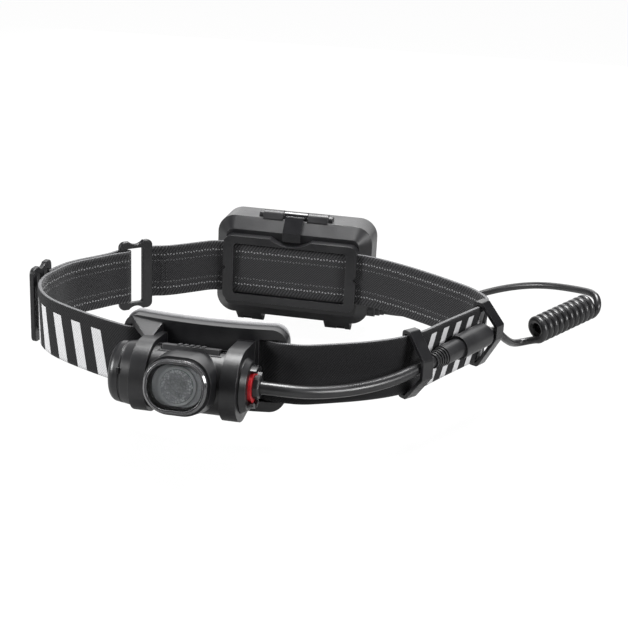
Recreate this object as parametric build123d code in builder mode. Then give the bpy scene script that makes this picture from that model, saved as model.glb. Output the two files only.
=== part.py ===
"""Headlamp: a tilting lamp head on a forehead bracket, an elastic head strap with a slider, a rear
ring and two cable clips, and a rear pack of three AA cells fed through a plug and a coiled cable.

Frame: millimetres, +Z up, +X to the right of someone who faces the lamp. The lamp shines towards -Y.
The origin is the centre of the head opening, level with the middle of the strap.
"""

from build123d import *
import math
import os

os.makedirs("parts", exist_ok=True)

# ---------------------------------------------------------------- driving dimensions
# Fits and clearances
running_gap = 0.05
side_gap = 0.3
soft_gap = 0.3
seat_gap = 0.1
slot_play = 0.7

# Strap
strap_width = 25.0
strap_thick = 1.5
layer_gap = 0.5

# Lamp head, whose own directions are forward (out of the lens) and up
lamp_x = -9.5
tilt_y = -80.0
tilt_z = 0.0
rest_tilt = 14.0
head_width = 28.5
head_depth = 20.0
head_half = 12.6
head_wall = 1.8
snout_corner = 10.0
snout_rim = 0.9
snout_step = 0.4
head_split = -7.5
bezel_width = 24.4
bezel_height = 20.4
bezel_corner = 9.4
bezel_rim = 1.5
bezel_lip = 0.9
gasket_thick = 0.7
lens_thick = 1.8
optic_radius = 6.3
optic_depth = 8.5
optic_base = 3.4
holder_thick = 1.4
led_size = 3.4
led_thick = 0.8
led_board_radius = 8.2
board_thick = 1.2
sink_thick = 8.6
sink_half = 6.4
sink_width = 22.0
button_length = 23.0
button_width = 4.6
button_travel = 0.8
button_forward = 3.2
button_flange = 0.9
button_rib = 0.5
groove_depth = 0.8
switch_size = 5.0
driver_width = 21.0
driver_height = 12.0

# Tilt joint and what plugs its two ends
ring_radius = 14.2
ring_width = 6.5
trunnion_radius = 10.6
trunnion_bore = 7.6
cap_flange = 12.9
left_cap_length = 9.2
right_cap_length = 2.4
washer_thick = 0.25
wire_hole_radius = 3.2
seal_radius = 6.2
seal_thick = 1.2
gland_radius = 4.6
gland_length = 2.6
screw_radius = 0.95
screw_head_radius = 1.5
screw_head = 1.2

# Bracket that carries the lamp head
bracket_width = 67.0
bracket_height = 35.0
bracket_radius = 150.0
bracket_thick = 2.5
bracket_corner = 6.5
bracket_rib = 2.1
slot_start = 22.6
slot_length = 8.0
slot_ease = 0.9
arm_height = 25.0
pad_thick = 3.5
pad_overhang = 0.6

# Battery pack
pack_x = -2.5
pack_y = 66.0
pack_z = -1.0
pack_width = 77.0
pack_height = 50.0
pack_wall = 1.8
pack_corner = 9.0
case_depth = 14.0
case_bevel = 5.5
cover_depth = 12.0
cover_bevel = 4.0
cell_radius = 7.1
cell_length = 49.2
cell_pitch = 14.6
cell_nub = 1.3
contact_thick = 0.4
frame_width = 66.0
frame_height = 33.0
frame_bar = 5.2
frame_bar_thick = 1.8
frame_back = 1.6
frame_dip = 3.2
dip_radius = 18.0
knuckle_radius = 3.1
latch_length = 32.0
latch_tongue = 9.0
pin_radius = 1.0
lug_width = 13.0
lug_depth = 7.0
lug_spread = 45.0
lug_notch = 4.6
gland_z = -18.4

# Buckles and clips
buckle_height = 34.0
buckle_thick = 2.2
buckle_bar = 3.8
ring_length = 17.0
ring_wide_bar = 5.2
slider_length = 19.0
clip_width = 5.6
clip_wall = 1.5
clip_slack = 0.5

# Cables
lamp_cable_diameter = 5.0
plug_diameter = 8.4
plug_length = 20.5
relief_length = 7.0
socket_diameter = 10.4
coil_cable_diameter = 3.4
coil_diameter = 11.0

# ---------------------------------------------------------------- directions and planes of the head
strap_half = strap_width / 2
half_thick = strap_thick / 2
slot_half = strap_half + slot_play
tilt = math.radians(rest_tilt)
forward = Vector(0, -math.cos(tilt), math.sin(tilt))
head_up = Vector(0, math.sin(tilt), math.cos(tilt))
tilt_point = Vector(lamp_x, tilt_y, tilt_z)


def head_side(across):
    """Plane square to the tilt axis: its X runs backward, its Y up."""
    return Plane(origin=tilt_point + Vector(across, 0, 0), x_dir=-forward, z_dir=(1, 0, 0))


def head_front(ahead):
    """Plane facing the beam: its X runs along the tilt axis, its Y up."""
    return Plane(origin=tilt_point + forward * ahead, x_dir=(1, 0, 0), z_dir=forward)


def head_top(above, ahead=0.0):
    """Plane facing up from the head: its X runs along the tilt axis, its Y backward."""
    return Plane(origin=tilt_point + head_up * above + forward * ahead, x_dir=(1, 0, 0), z_dir=head_up)


# ---------------------------------------------------------------- helpers
def save(piece, label):
    """Name a finished piece and write it as its own node."""
    piece.part.label = label
    export_step(piece.part, f"parts/{label}.step")


def corner_turns(points):
    """Angle in degrees that a route turns through at each inner point."""
    turns = []
    for before, here, after in zip(points, points[1:], points[2:]):
        arriving = Vector(*here) - Vector(*before)
        leaving = Vector(*after) - Vector(*here)
        turns.append(arriving.get_angle(leaving))
    return turns


def corner_radii(points, share=0.45):
    """Largest even arc at each corner: a share of the shorter run over tan(half the turn)."""
    radii = []
    for before, here, after, turn in zip(points, points[1:], points[2:], corner_turns(points)):
        shorter = min((Vector(*here) - Vector(*before)).length, (Vector(*after) - Vector(*here)).length)
        radii.append(share * shorter / math.tan(math.radians(turn) / 2))
    return radii


def beside(points, distance):
    """The plan points moved sideways, to the left of the direction of travel when positive."""
    moved = []
    for index, here in enumerate(points):
        before = Vector(*points[max(index - 1, 0)])
        after = Vector(*points[min(index + 1, len(points) - 1)])
        along = (after - before).normalized()
        moved.append((here[0] - along.Y * distance, here[1] + along.X * distance))
    return moved


def strap_piece(points, height=strap_width):
    """Upright band of webbing whose middle line follows the given plan points."""
    with BuildPart() as band:
        with BuildSketch(Plane.XY.offset(-height / 2)):
            with BuildLine() as route:
                FilletPolyline(*points, radius=corner_radii(points))
            trace(route.wires()[0], line_width=strap_thick)
        extrude(amount=height)
    return band


def halfway(first, second):
    """Plan point midway along a straight run, where one stretch of strap meets the next."""
    return ((first[0] + second[0]) / 2, (first[1] + second[1]) / 2)


def on_bracket(across, radius):
    """Plan point on an arc about the bracket's centre of curvature."""
    return (lamp_x + across, bracket_y + bracket_radius - math.sqrt(radius**2 - across**2))


# ---------------------------------------------------------------- lamp head
def oval(width, height, corner):
    """Sketch of the bezel's outline, for use inside a BuildSketch."""
    return RectangleRounded(width, height, min(corner, height / 2 - 0.1, width / 2 - 0.1))


bezel_stand = gasket_thick + lens_thick + bezel_lip
opening_width = bezel_width - 2 * bezel_rim - 1.6
opening_height = bezel_height - 2 * bezel_rim - 1.6
opening_corner = bezel_corner - bezel_rim - 0.8
flange_length = button_length + 1.6
flange_width = button_width + 2.0
flange_top = head_half - head_wall
cap_screw_circle = (trunnion_bore + trunnion_radius) / 2
cap_screw_lean = math.radians(30)
cap_screw_spots = [
    (cap_screw_circle * math.sin(cap_screw_lean), side * cap_screw_circle * math.cos(cap_screw_lean))
    for side in (1, -1)
]



def head_block(inset):
    """Barrel across the head with a snout that tapers to the bezel, moved inward by an even inset."""
    half = head_half - inset
    with BuildPart() as block:
        with BuildSketch(head_side(-head_width / 2 + inset)):
            Circle(half)
        extrude(amount=head_width - 2 * inset)
        with BuildSketch(head_front(0)):
            oval(
                head_width - 2 * (inset + snout_step),
                2 * (half - snout_step),
                snout_corner - inset,
            )
        with BuildSketch(head_front(head_depth - inset)):
            oval(
                bezel_width + 2 * (snout_rim - inset),
                bezel_height + 2 * (snout_rim - inset),
                bezel_corner + snout_rim - inset,
            )
        loft()
    return block


outer_block = head_block(0)
inner_block = head_block(head_wall)
with BuildPart() as head_shell:
    add(outer_block.part)
    add(inner_block.part, mode=Mode.SUBTRACT)
    with BuildSketch(head_front(head_depth)):
        oval(opening_width, opening_height, opening_corner)
    extrude(amount=-head_wall - 1, mode=Mode.SUBTRACT)
    with BuildSketch(head_top(head_half, button_forward)):
        Rectangle(head_width + 1, button_width + 1.2)
    extrude(amount=-groove_depth, mode=Mode.SUBTRACT)
    with BuildSketch(head_top(head_half, button_forward)):
        Rectangle(button_length + 2 * side_gap, button_width + 2 * side_gap)
    extrude(amount=-head_wall - 0.5, mode=Mode.SUBTRACT)
    with BuildSketch(head_top(flange_top, button_forward)):
        Rectangle(flange_length + 2 * side_gap, flange_width + 2 * side_gap)
    extrude(amount=-3 * button_flange, mode=Mode.SUBTRACT)
    with BuildSketch(head_side(-head_width / 2 - 1)):
        with Locations(*cap_screw_spots):
            Circle(screw_radius + seat_gap)
        Circle(wire_hole_radius)
    extrude(amount=head_width + 2, mode=Mode.SUBTRACT)

with BuildPart() as front_housing:
    add(head_shell.part)
    split(bisect_by=head_front(head_split), keep=Keep.TOP)
save(front_housing, "front_housing")

with BuildPart() as rear_housing:
    add(head_shell.part)
    split(bisect_by=head_front(head_split), keep=Keep.BOTTOM)
save(rear_housing, "rear_housing")

seat_width = bezel_width - 2 * bezel_rim + 1.2
seat_height = bezel_height - 2 * bezel_rim + 1.2
seat_corner = bezel_corner - bezel_rim + 0.6

with BuildPart() as front_bezel:
    with BuildSketch(head_front(head_depth)):
        oval(bezel_width, bezel_height, bezel_corner)
    extrude(amount=bezel_stand)
    chamfer(front_bezel.faces().sort_by(SortBy.DISTANCE, reverse=True)[0].edges(), 0.7)
    with BuildSketch(head_front(head_depth)):
        oval(seat_width + 2 * seat_gap, seat_height + 2 * seat_gap, seat_corner + seat_gap)
    extrude(amount=gasket_thick + lens_thick, mode=Mode.SUBTRACT)
    with BuildSketch(head_front(head_depth)):
        oval(seat_width - 1.2, seat_height - 1.2, seat_corner - 0.6)
    extrude(amount=bezel_stand + 1, mode=Mode.SUBTRACT)
save(front_bezel, "front_bezel")

with BuildPart() as lens_gasket:
    with BuildSketch(head_front(head_depth)):
        oval(seat_width, seat_height, seat_corner)
    extrude(amount=gasket_thick)
    with BuildSketch(head_front(head_depth)):
        oval(opening_width, opening_height, opening_corner)
    extrude(amount=gasket_thick, mode=Mode.SUBTRACT)
save(lens_gasket, "lens_gasket")

with BuildPart() as front_lens:
    with BuildSketch(head_front(head_depth + gasket_thick)):
        oval(seat_width, seat_height, seat_corner)
    extrude(amount=lens_thick)
save(front_lens, "front_lens")

# Optic, light source and boards, stacked backward from just behind the lens
optic_front = head_depth - 0.4
optic_back = optic_front - optic_depth
board_front = optic_back
board_back = board_front - board_thick
sink_back = board_back - sink_thick
driver_front = sink_back - 1.6

with BuildPart() as optic:
    with BuildSketch(head_front(optic_front)):
        Circle(optic_radius)
    with BuildSketch(head_front(optic_back)):
        Circle(optic_base)
    loft()
    with BuildSketch(head_front(optic_back)):
        Circle(optic_base - 0.9)
    extrude(amount=led_thick + 1.0, mode=Mode.SUBTRACT)
save(optic, "beam_optic")

with BuildPart() as optic_holder:
    with BuildSketch(head_front(optic_front - 0.8)):
        oval(opening_width - 2 * seat_gap, opening_height - 2 * seat_gap, opening_corner - seat_gap)
        Circle(optic_radius + seat_gap, mode=Mode.SUBTRACT)
    extrude(amount=-holder_thick)
    with BuildSketch(head_front(optic_front - 0.8)):
        Circle(optic_radius + 1.3)
        Circle(optic_radius + seat_gap, mode=Mode.SUBTRACT)
    extrude(amount=0.6)
save(optic_holder, "optic_holder")

with BuildPart() as led_board:
    with BuildSketch(head_front(board_back)):
        Circle(led_board_radius)
        with PolarLocations(led_board_radius, 2, start_angle=0):
            Circle(1.1, mode=Mode.SUBTRACT)
    extrude(amount=board_thick)
save(led_board, "led_board")

with BuildPart() as led:
    with BuildSketch(head_front(board_front)):
        Rectangle(led_size, led_size)
    extrude(amount=led_thick)
save(led, "led_emitter")

with BuildPart() as heat_sink:
    with BuildSketch(head_front(sink_back)):
        Rectangle(sink_width, 2 * sink_half)
    extrude(amount=sink_thick)
    with BuildSketch(head_front(sink_back)):
        with GridLocations(driver_width - 4, driver_height - 5, 2, 2):
            Circle(1.3)
    extrude(amount=driver_front - sink_back)
save(heat_sink, "heat_sink")

with BuildPart() as driver_board:
    with BuildSketch(head_front(driver_front)):
        Rectangle(driver_width, driver_height)
    extrude(amount=-board_thick)
    with BuildSketch(head_front(driver_front - board_thick)):
        with Locations((-6, 2), (4, -3)):
            Rectangle(4.5, 3.5)
    extrude(amount=-1.2)
save(driver_board, "driver_board")

# Power button: a ribbed bar in a groove across the top, with a switch under it
button_top = head_half - groove_depth + 1.3
switch_top = flange_top - button_flange - button_travel - 0.05

with BuildPart() as button:
    with BuildSketch(head_top(flange_top, button_forward)):
        Rectangle(button_length, button_width)
    extrude(amount=button_top - flange_top)
    fillet(button.edges().filter_by(GeomType.LINE).group_by(SortBy.LENGTH)[0], 0.9)
    with BuildSketch(head_top(button_top, button_forward)):
        with GridLocations(2.4, 0, 5, 1):
            Rectangle(1.3, button_width - 1.0)
    extrude(amount=button_rib)
    with BuildSketch(head_top(flange_top, button_forward)):
        Rectangle(flange_length, flange_width)
    extrude(amount=-button_flange)
save(button, "power_button")

with BuildPart() as switch:
    with BuildSketch(head_top(sink_half, button_forward)):
        Rectangle(switch_size, switch_size - 1.4)
    extrude(amount=switch_top - sink_half - 0.6)
    with BuildSketch(head_top(switch_top - 0.6, button_forward)):
        Circle(1.1)
    extrude(amount=0.6)
save(switch, "button_switch")

# ---------------------------------------------------------------- what plugs the ends of the head
half_head = head_width / 2
ring_start = half_head + side_gap
cap_start = ring_start + ring_width + side_gap


def end_cap(side, length):
    """Trunnion that turns in the bracket's ring, with a flange outside it. side is -1 or +1."""
    reach = cap_start - half_head
    with BuildPart() as cap:
        with BuildSketch(head_side(side * half_head)):
            Circle(trunnion_radius)
            Circle(trunnion_bore, mode=Mode.SUBTRACT)
        extrude(amount=side * reach)
        with BuildSketch(head_side(side * cap_start)):
            Circle(cap_flange if side < 0 else cap_flange - 2.0)
        extrude(amount=side * length, taper=8 if side < 0 else 30)
        outer = cap.faces().filter_by(Axis.X).sort_by(Axis.X)[0 if side < 0 else -1]
        fillet(outer.edges(), 3.0 if side < 0 else 0.4)
        with BuildSketch(head_side(side * half_head)):
            with Locations(*cap_screw_spots):
                Circle(screw_radius - 0.1)
        extrude(amount=side * (reach - 1), mode=Mode.SUBTRACT)
    return cap


left_cap = end_cap(-1, left_cap_length)
with BuildPart() as left_end_cap:
    add(left_cap.part)
    with BuildSketch(head_side(-cap_start - left_cap_length / 2)):
        Circle(cap_flange + 1)
        Circle(cap_flange - 0.9, mode=Mode.SUBTRACT)
    extrude(amount=0.9, mode=Mode.SUBTRACT)
    with BuildSketch(head_front(cap_flange - 1.6)):
        with Locations((-cap_start - left_cap_length / 2, 2.0)):
            RectangleRounded(1.0, 2.4, 0.45)
    extrude(amount=1.5)
save(left_end_cap, "left_end_cap")

right_cap = end_cap(1, right_cap_length)
crown_start = cap_start + right_cap_length
with BuildPart() as right_end_cap:
    add(right_cap.part)
    with BuildSketch(head_side(crown_start - 0.5)):
        Circle(seal_radius + 2.1)
        Circle(seal_radius + 0.4, mode=Mode.SUBTRACT)
        with PolarLocations(seal_radius + 1.4, 8):
            Rectangle(4.5, 2.4, mode=Mode.SUBTRACT)
        with Locations((-seal_radius, 0)):
            Rectangle(2 * seal_radius, 2 * seal_radius - 1.0, mode=Mode.SUBTRACT)
    extrude(amount=0.5 + seal_thick + 1.4)
    with BuildSketch(head_side(half_head)):
        Circle(lamp_cable_diameter / 2 + 0.4)
    extrude(amount=crown_start - half_head + 1, mode=Mode.SUBTRACT)
save(right_end_cap, "right_end_cap")

with BuildPart() as cap_screws:
    for side in (-1, 1):
        with BuildSketch(head_side(side * (half_head - head_wall))):
            with Locations(*cap_screw_spots):
                Circle(screw_head_radius)
        extrude(amount=-side * screw_head)
        with BuildSketch(head_side(side * (half_head - head_wall))):
            with Locations(*cap_screw_spots):
                Circle(screw_radius - 0.1)
        extrude(amount=side * (head_wall + ring_width - 1.5))
save(cap_screws, "cap_screws")

with BuildPart() as seal:
    with BuildSketch(head_side(crown_start)):
        Circle(seal_radius)
        Circle(lamp_cable_diameter / 2 + 0.4, mode=Mode.SUBTRACT)
    extrude(amount=seal_thick)
save(seal, "cable_seal")

gland_end = crown_start + seal_thick + gland_length
with BuildPart() as gland:
    with BuildSketch(head_side(crown_start + seal_thick)):
        RegularPolygon(gland_radius, 8)
    extrude(amount=gland_length)
    chamfer(gland.faces().filter_by(Axis.X).sort_by(Axis.X)[-1].edges(), 0.5)
save(gland, "cable_gland")

for side, name in ((-1, "left_tilt_washer"), (1, "right_tilt_washer")):
    with BuildPart() as washer:
        with BuildSketch(head_side(side * half_head)):
            Circle(head_half - 0.6)
            Circle(trunnion_radius + seat_gap, mode=Mode.SUBTRACT)
        extrude(amount=side * washer_thick)
    save(washer, name)

# ---------------------------------------------------------------- bracket and forehead pad
bracket_y = tilt_y + ring_radius
slot_end = slot_start + slot_length
channel_outer = bracket_radius - bracket_thick
strap_in = channel_outer - soft_gap - half_thick
strap_over = bracket_radius + soft_gap + half_thick
bend_centre = bracket_y + bracket_radius


def bowed(outer, inner, width, height, corner):
    """Plate bowed about the bracket's centre of curvature, cut to a rounded rectangle."""
    with BuildPart() as plate:
        with BuildSketch(Plane.XY.offset(-height / 2)):
            with Locations((lamp_x, bend_centre)):
                Circle(outer)
                Circle(inner, mode=Mode.SUBTRACT)
        extrude(amount=height)
        with BuildSketch(Plane.XZ.offset(-bracket_y - 12)):
            with Locations((lamp_x, 0)):
                RectangleRounded(width, height, corner)
        extrude(amount=24, mode=Mode.INTERSECT)
    return plate


plate = bowed(bracket_radius, channel_outer, bracket_width, bracket_height, bracket_corner)
rim = bowed(channel_outer, channel_outer - bracket_rib, bracket_width, bracket_height, bracket_corner)
with BuildPart() as bracket:
    add(plate.part)
    add(rim.part)
    with BuildSketch(Plane.XY.offset(-slot_half)):
        with Locations((lamp_x, bend_centre)):
            Circle(channel_outer)
            Circle(channel_outer - bracket_rib - 1, mode=Mode.SUBTRACT)
    extrude(amount=2 * slot_half, mode=Mode.SUBTRACT)
    with BuildSketch(Plane.XZ.offset(-bracket_y - 12)):
        for side in (-1, 1):
            with Locations((lamp_x + side * (slot_start + slot_length / 2), 0)):
                Rectangle(slot_length, 2 * slot_half)
    extrude(amount=24, mode=Mode.SUBTRACT)
    for side in (-1, 1):
        with BuildSketch(Plane.YZ.offset(lamp_x + side * ring_start)):
            with Locations((tilt_y, tilt_z)):
                Circle(ring_radius)
            with Locations((bracket_y + 1.2, 0)):
                Rectangle(1.2, arm_height)
            make_hull()
        extrude(amount=side * ring_width)
    arm_side = lamp_x - ring_start - ring_width
    horn_end = lamp_x - bracket_width / 2 + bracket_corner / 2
    with BuildSketch(Plane.XZ.offset(-bracket_y - 3.4)):
        with Locations(((horn_end + arm_side + 5.0) / 2, (bracket_height / 2 + slot_half) / 2 - 0.3)):
            Rectangle(arm_side + 5.0 - horn_end, bracket_height / 2 - slot_half - 0.6)
    with BuildSketch(Plane.XZ.offset(-tilt_y - 6.0)):
        with Locations((arm_side + ring_width / 4, ring_radius - 1.7)):
            Rectangle(ring_width / 2, 1.8)
    loft()
    with BuildSketch(Plane.YZ.offset(lamp_x - half_head - ring_width - 2)):
        with Locations((tilt_y, tilt_z)):
            Circle(trunnion_radius + running_gap)
    extrude(amount=head_width + 2 * ring_width + 4, mode=Mode.SUBTRACT)
save(bracket, "forehead_bracket")

pad_outer = channel_outer - bracket_rib
pad = bowed(
    pad_outer,
    pad_outer - pad_thick,
    bracket_width + 2 * pad_overhang,
    bracket_height + 2 * pad_overhang,
    bracket_corner + pad_overhang,
)
save(pad, "forehead_pad")

# ---------------------------------------------------------------- strap, ring and slider
wrap_gap = half_thick + soft_gap + buckle_thick / 2
ring_centre = Vector(-71.5, 35.0)
ring_along = Vector(0.72, 0.69).normalized()
ring_out = Vector(-ring_along.Y, ring_along.X)
slider_centre = Vector(-96.8, -13.0)


def at_ring(along, out):
    """Plan point in the rear ring's own directions."""
    place = ring_centre + ring_along * along + ring_out * out
    return (place.X, place.Y)


left_bar = -ring_length / 2 + buckle_bar / 2
right_bar = ring_length / 2 - ring_wide_bar / 2
layer_step = half_thick + layer_gap / 2
left_route = [(-95.9, -7.0), (-94.4, 2.0), (-91.0, 9.6), (-84.6, 18.4), (-79.6, 25.6)]
outer_layer = beside(left_route, layer_step)
inner_layer = beside(left_route, -layer_step)
fold = [
    at_ring(left_bar - 1.6, -wrap_gap),
    at_ring(left_bar + 1.6, -wrap_gap),
    at_ring(left_bar + 3.6, -0.9),
    at_ring(left_bar + 3.6, 0.9),
    at_ring(left_bar + 1.6, wrap_gap),
    at_ring(left_bar - 1.6, wrap_gap),
]
cheek = [(-80.4, -44.9), (-58.0, -56.9)]
temple = [(37.2, -60.0), (53.6, -51.6)]
frame_mid_y = pack_y - frame_back - soft_gap - half_thick
nape = [(53.0, 55.2), (35.5, frame_mid_y)]
temple_run = [(65.6, -42.6), (74.0, -32.2)]
side_run = [(88.5, -3.2), (98.4, 15.6)]
left_joint = halfway(*cheek)
right_joint = halfway(*temple)
rear_joint = halfway(*nape)
front_left = [(-96.3, -15.0), (-94.6, -25.0), (-89.6, -35.2), cheek[0], left_joint]
inner_layer.insert(0, (inner_layer[0][0] - 0.2, inner_layer[0][1] - 3.0))

fold_joint = halfway(*fold[:2])
save(strap_piece(inner_layer + [fold[0], fold_joint]), "strap_tail")
save(strap_piece([fold_joint] + fold[1:] + outer_layer[::-1] + front_left), "strap_left")
front_route = [
    left_joint,
    cheek[1],
    on_bracket(-slot_end - 2.0, strap_over),
    on_bracket(-slot_end + slot_ease / 2, strap_over),
    on_bracket(-slot_start - slot_ease, strap_in),
    on_bracket(-slot_start / 3, strap_in),
    on_bracket(slot_start / 3, strap_in),
    on_bracket(slot_start + slot_ease, strap_in),
    on_bracket(slot_end - slot_ease / 2, strap_over),
    on_bracket(slot_end + 2.0, strap_over),
    (30.5, -63.0),
    temple[0],
    right_joint,
]
save(strap_piece(front_route), "strap_front")
right_route = [
    right_joint,
    temple[1],
    *temple_run,
    (80.4, -18.4),
    *side_run,
    (89.6, 29.6),
    (79.8, 37.2),
    (67.3, 46.2),
    nape[0],
    rear_joint,
]
save(strap_piece(right_route), "strap_right")
rear_route = [
    rear_joint,
    nape[1],
    (-40.5, frame_mid_y),
    (-48.6, 55.6),
    (-59.8, 45.6),
    at_ring(right_bar + 4.0, wrap_gap + 0.6),
    at_ring(right_bar - 1.5, wrap_gap),
]
save(strap_piece(rear_route), "strap_rear")


def buckle(label, place, along, length, slots):
    """Flat buckle across the strap with waisted ends. slots are (centre, width) along the strap."""
    face = Plane(origin=place, x_dir=along, z_dir=along.cross(Vector(0, 0, 1)))
    with BuildPart() as plate:
        with BuildSketch(face):
            RectangleRounded(length, buckle_height, 2.8)
            for end in (-1, 1):
                with Locations((0, end * (buckle_height / 2 + 3.4))):
                    Circle(5.0, mode=Mode.SUBTRACT)
            for centre, width in slots:
                with Locations((centre, 0)):
                    RectangleRounded(width, 2 * slot_half + 0.4, 0.8, mode=Mode.SUBTRACT)
        extrude(amount=buckle_thick / 2, both=True)
        rims = plate.faces().sort_by(SortBy.AREA)[-2:].edges()
        fillet(rims, 0.5)
    save(plate, label)


ring_slot = ring_length - buckle_bar - ring_wide_bar
ring_slot_centre = (buckle_bar - ring_wide_bar) / 2
buckle("rear_ring", ring_centre, ring_along, ring_length, [(ring_slot_centre, ring_slot)])
slider_slot = (slider_length - 3 * buckle_bar) / 2
slider_offset = (slider_slot + buckle_bar) / 2
slider_place = slider_centre + Vector(-wrap_gap, 0)
buckle(
    "strap_slider",
    slider_place,
    Vector(0.03, 1, 0).normalized(),
    slider_length,
    [(-slider_offset, slider_slot), (slider_offset, slider_slot)],
)


def cable_clip(label, before, after, share, cable_out, cable_up, cable_radius):
    """Closed clip round the strap with a bow that holds a cable against the strap's outer face."""
    run = Vector(*after) - Vector(*before)
    place = Vector(*before) + run * share
    out = Vector(run.Y, -run.X).normalized()
    near = half_thick + soft_gap
    bow = cable_out + cable_radius + clip_slack
    flat = cable_radius + 0.9
    face = Plane(origin=place, x_dir=out, z_dir=out.cross(Vector(0, 0, 1)))
    hollow = [
        (-near, slot_half),
        (near, slot_half),
        (bow, cable_up + flat),
        (bow, cable_up - flat),
        (near, -slot_half),
        (-near, -slot_half),
    ]
    with BuildPart() as clip:
        with BuildSketch(face):
            with BuildLine():
                Polyline(*hollow, close=True)
            make_face()
            offset(amount=clip_wall)
        extrude(amount=clip_width / 2, both=True)
        with BuildSketch(face):
            with BuildLine():
                Polyline(*hollow, close=True)
            make_face()
        extrude(amount=clip_width, both=True, mode=Mode.SUBTRACT)
    save(clip, label)


cable_clip("front_cable_clip", *temple_run, 0.5, 6.2, 0.6, lamp_cable_diameter / 2)
cable_clip("side_cable_clip", *side_run, 0.6, 6.4, 2.9, coil_cable_diameter / 2)

# ---------------------------------------------------------------- lamp cable, plug and socket
def tube(points, diameter, label):
    """Cable along straight runs joined by tangent arcs, with its radii and volume printed."""
    radii = corner_radii(points)
    with BuildPart() as cable:
        with BuildLine() as route:
            FilletPolyline(*points, radius=radii)
        path = route.wires()[0]
        with BuildSketch(Plane(origin=path @ 0, z_dir=path % 0)):
            Circle(diameter / 2)
        sweep(path=path)
    ratio = cable.part.volume / (math.pi * diameter**2 / 4 * path.length)
    print(label, "length", round(path.length, 1), "volume ratio", round(ratio, 4))
    print(label, "radii", [round(radius) for radius in radii])
    save(cable, label)


lamp_cable_start = (lamp_x + gland_end, tilt_y, tilt_z)
plug_start = Vector(78.5, -34.6, 1.0)
socket_end = Vector(98.6, 2.6, 2.8)
plug_axis = (socket_end - plug_start).normalized()


def along_plug(distance):
    """Point on the connector's axis."""
    return plug_start + plug_axis * distance


def plug_plane(distance):
    """Plane square to the connector at a distance from the start of its relief."""
    return Plane(origin=along_plug(distance), z_dir=plug_axis)


lamp_route = [
    lamp_cable_start,
    (lamp_x + gland_end + 7.4, tilt_y, tilt_z),
    (33.6, -77.6, -1.0),
    (41.8, -72.9, -1.9),
    (50.0, -66.9, -2.4),
    (58.0, -60.2, -2.3),
    (65.0, -53.3, -1.7),
    (70.4, -47.0, -0.7),
    tuple(along_plug(-7.5)),
    tuple(plug_start),
]
tube(lamp_route, lamp_cable_diameter, "lamp_cable")

body_length = (socket_end - plug_start).length
plug_tip = plug_length + 6.0
with BuildPart() as plug:
    rib_pitch = relief_length / 5
    with BuildSketch(plug_plane(0)):
        Circle(lamp_cable_diameter / 2 + 0.4)
    extrude(amount=relief_length)
    for rib in range(5):
        with BuildSketch(plug_plane(rib * rib_pitch)):
            Circle(lamp_cable_diameter / 2 + 0.7 + 0.2 * rib)
        extrude(amount=rib_pitch * 0.55)
    with BuildSketch(plug_plane(relief_length)):
        Circle(plug_diameter / 2)
    extrude(amount=plug_length - relief_length)
    with BuildSketch(plug_plane(plug_length)):
        Circle(plug_diameter / 2 - 1.2)
    extrude(amount=plug_tip - plug_length)
save(plug, "cable_plug")

socket_start = plug_length - 2.0
nose_length = 4.5
with BuildPart() as socket:
    with BuildSketch(plug_plane(socket_start)):
        Circle(socket_diameter / 2)
    extrude(amount=body_length - nose_length - socket_start)
    with BuildSketch(plug_plane(body_length - nose_length)):
        Circle(socket_diameter / 2 - 0.4)
    with BuildSketch(plug_plane(body_length)):
        Circle(coil_cable_diameter / 2 + 0.9)
    loft()
    with BuildSketch(plug_plane(socket_start)):
        Circle(plug_diameter / 2 + running_gap)
    extrude(amount=plug_length - socket_start, mode=Mode.SUBTRACT)
    with BuildSketch(plug_plane(socket_start)):
        Circle(plug_diameter / 2 - 1.2 + running_gap)
    extrude(amount=plug_tip - socket_start + 0.5, mode=Mode.SUBTRACT)
save(socket, "cable_socket")

# ---------------------------------------------------------------- coiled cable
coil_near = Vector(117.0, 28.0, -4.0)
coil_far = Vector(141.7, 59.3, 1.0)
coil_axis = (coil_far - coil_near).normalized()
turn_radius = (coil_diameter - coil_cable_diameter) / 2
coil_entry = coil_near + Vector(0.12, 0.06, -0.99) * turn_radius
near_route = [
    tuple(socket_end),
    tuple(socket_end + plug_axis * 5.2),
    (104.2, 11.4, 1.2),
    (107.8, 15.2, -2.0),
    (111.0, 19.6, -5.8),
    tuple(coil_entry - coil_axis * 4.6),
    tuple(coil_entry),
]
tube(near_route, coil_cable_diameter, "coil_near_lead")

with BuildPart() as coil:
    with BuildSketch(Plane(origin=coil_near, z_dir=coil_axis)):
        Circle(coil_diameter / 2)
    extrude(amount=(coil_far - coil_near).length)
save(coil, "coiled_cable")

gland_y = pack_y + 8.5
gland_steps = [(3.4, 4.0), (2.7, 2.4), (2.2, 2.1)]
gland_wall = pack_x + pack_width / 2
gland_out = (gland_wall + sum(length for _, length in gland_steps) - 1.0, gland_y, gland_z)
coil_exit = coil_far + Vector(0.78, -0.61, 0.0) * turn_radius
far_route = [
    gland_out,
    (gland_out[0] + 8.0, gland_y, gland_z),
    (60.6, 77.4, -17.7),
    (70.4, 82.8, -15.4),
    (80.6, 87.8, -12.0),
    (91.6, 91.2, -8.4),
    (103.6, 92.4, -5.4),
    (115.8, 91.4, -3.0),
    (127.2, 87.8, -1.2),
    (136.4, 81.6, 0.3),
    (143.0, 74.8, 1.6),
    (147.0, 67.4, 2.4),
    tuple(coil_exit + coil_axis * 5.0),
    tuple(coil_exit),
]
tube(far_route, coil_cable_diameter, "coil_far_lead")

# ---------------------------------------------------------------- battery pack
case_back = pack_y + case_depth
pack_floor = pack_z - pack_height / 2
pack_roof = pack_z + pack_height / 2
inner_bevel_share = pack_wall * (2 - math.sqrt(2))


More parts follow.
